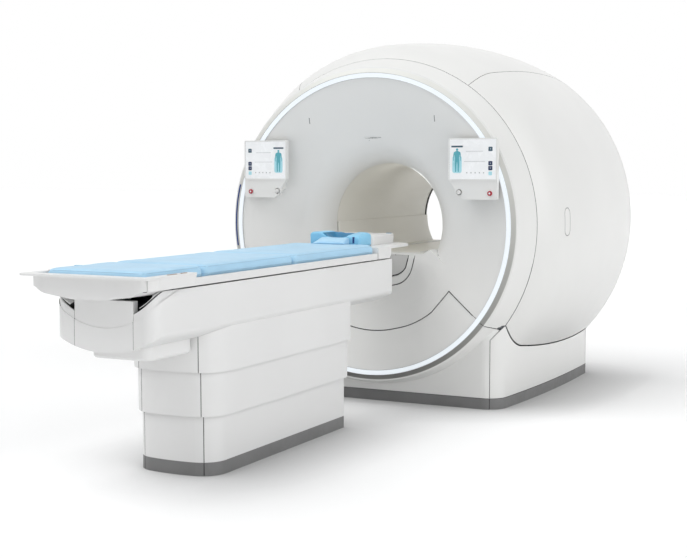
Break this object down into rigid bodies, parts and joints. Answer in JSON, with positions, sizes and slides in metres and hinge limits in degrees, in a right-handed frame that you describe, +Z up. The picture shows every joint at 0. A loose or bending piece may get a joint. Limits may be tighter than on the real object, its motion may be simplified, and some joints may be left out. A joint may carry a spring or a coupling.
{
  "type": "mri scanner",
  "caption": "Closed-bore imaging scanner: a barrel-shaped gantry with a light ring round its funnel mouth, and a patient table that lifts, lowers and slides its padded top into the bore.",
  "frame": {"origin": "centre of the whole footprint at floor level", "axes": "+Z up, +Y from the table into the bore, +X to the right when facing the bore"},
  "size_m": [2.1818, 4.276, 2.1008],
  "materials": {
    "cover_white": "satin moulded cover lacquer",
    "light_diffuser": "white translucent diffuser, lit",
    "channel_aluminium": "satin",
    "dock_grey": "matt",
    "kick_grey": "matt",
    "frame_steel": "powder coat",
    "vessel_steel": "brushed",
    "cold_head_steel": "machined",
    "gradient_resin": "cast resin",
    "coil_resin": "laminate",
    "liner_grey": "matt",
    "strip_plastic": "low-friction plastic",
    "screen_glass": "display pane, gloss",
    "stop_red": "gloss",
    "knob_silver": "satin",
    "duct_grey": "matt",
    "tier_white": "satin",
    "motor_black": "painted",
    "table_white": "satin",
    "rail_steel": "ground",
    "belt_rubber": "matt",
    "bracket_aluminium": "machined",
    "pad_blue": "coated fabric, matt",
    "cushion_blue": "coated fabric, matt"
  },
  "bodies": {
    "gantry_and_base": {"base_frame": "frame_steel", "body_coil": "coil_resin", "bore_liner": "liner_grey", "cold_head": "cold_head_steel", "cover_hoops": "frame_steel", "docking_bezel": "cover_white", "docking_cover": "dock_grey", "floor_duct": "duct_grey", "front_collar": "cover_white", "front_funnel": "cover_white", "gantry_kick": "kick_grey", "gradient_coil": "gradient_resin", "lift_motor": "motor_black", "lifting_plugs": "cover_white", "light_ring": "light_diffuser", "light_ring_channel": "channel_aluminium", "lower_fascia": "cover_white", "lower_funnel_panel": "cover_white", "lower_tier": "tier_white", "magnet_feet": "frame_steel", "magnet_vessel": "vessel_steel", "panel_housings": "cover_white", "panel_screens": "screen_glass", "patient_bridge": "liner_grey", "pedestal_panels": "cover_white", "pedestal_rear_panel": "cover_white", "rear_cover": "cover_white", "side_covers": "cover_white", "slide_strips": "strip_plastic", "table_base": "frame_steel", "table_kick": "kick_grey", "top_cover": "cover_white"},
    "middle_stage": {"middle_lift": "frame_steel", "middle_tier": "tier_white"},
    "upper_stage": {"upper_tier": "tier_white", "table_housing": "table_white", "housing_nose": "table_white", "belly_cover": "table_white", "table_frame": "frame_steel", "guide_rails": "rail_steel", "drive_belt": "belt_rubber", "drive_motor": "motor_black"},
    "drive_pulley": {"drive_pulley": "rail_steel"},
    "idler_pulley": {"idler_pulley": "rail_steel"},
    "support_roller": {"support_roller": "rail_steel"},
    "tabletop": {"tabletop_deck": "table_white", "runner_blocks": "bracket_aluminium", "belt_clamp": "bracket_aluminium", "tabletop_head": "table_white", "foot_cover": "table_white", "mattress_foot": "pad_blue", "mattress_middle": "pad_blue", "mattress_head": "pad_blue", "headrest": "cushion_blue", "neck_pad": "cushion_blue", "connector_box": "table_white"},
    "stop_right": {"stop_button_right": "stop_red"},
    "stop_left": {"stop_button_left": "stop_red"},
    "knob_right": {"speed_knob_right": "knob_silver"},
    "knob_left": {"speed_knob_left": "knob_silver"}
  },
  "joints": [
    {"name": "table_lift", "type": "slide", "parent": "gantry_and_base", "child": "upper_stage", "axis": [0, 0, 1], "range_m": [-0.35, 0]},
    {"name": "middle_lift_follow", "type": "slide", "parent": "gantry_and_base", "child": "middle_stage", "axis": [0, 0, 1], "range_m": [-0.175, 0]},
    {"name": "tabletop_slide", "type": "slide", "parent": "upper_stage", "child": "tabletop", "axis": [0, 1, 0], "range_m": [0, 1.9]},
    {"name": "drive_pulley_spin", "type": "hinge", "parent": "upper_stage", "child": "drive_pulley", "pos_m": [0, -1.83, 0.762], "axis": [-1, 0, 0], "range_deg": [-5, 4490]},
    {"name": "idler_pulley_spin", "type": "hinge", "parent": "upper_stage", "child": "idler_pulley", "pos_m": [0, 0.17, 0.762], "axis": [-1, 0, 0], "range_deg": [-5, 4490]},
    {"name": "support_roller_spin", "type": "hinge", "parent": "upper_stage", "child": "support_roller", "pos_m": [0, 0.153, 0.8347], "axis": [-1, 0, 0], "range_deg": [-5, 7265]},
    {"name": "stop_right_press", "type": "slide", "parent": "gantry_and_base", "child": "stop_right", "axis": [0, 1, 0], "range_m": [0, 0.004], "stiffness_N_per_m": 900, "springref_m": -0.002},
    {"name": "stop_left_press", "type": "slide", "parent": "gantry_and_base", "child": "stop_left", "axis": [0, 1, 0], "range_m": [0, 0.004], "stiffness_N_per_m": 900, "springref_m": -0.002},
    {"name": "knob_right_tilt", "type": "hinge", "parent": "gantry_and_base", "child": "knob_right", "pos_m": [0.566, 0.3949, 1.2], "axis": [1, 0, 0], "range_deg": [-10, 10], "stiffness_Nm_per_rad": 0.5},
    {"name": "knob_left_tilt", "type": "hinge", "parent": "gantry_and_base", "child": "knob_left", "pos_m": [-0.566, 0.3949, 1.2], "axis": [1, 0, 0], "range_deg": [-10, 10], "stiffness_Nm_per_rad": 0.5}
  ],
  "couplings": [
    {"joint": "middle_lift_follow", "follows": "table_lift", "ratio": 0.5},
    {"joint": "drive_pulley_spin", "follows": "tabletop_slide", "rad_per_m": 41.152},
    {"joint": "idler_pulley_spin", "follows": "tabletop_slide", "rad_per_m": 41.152},
    {"joint": "support_roller_spin", "follows": "tabletop_slide", "rad_per_m": 66.667}
  ]
}
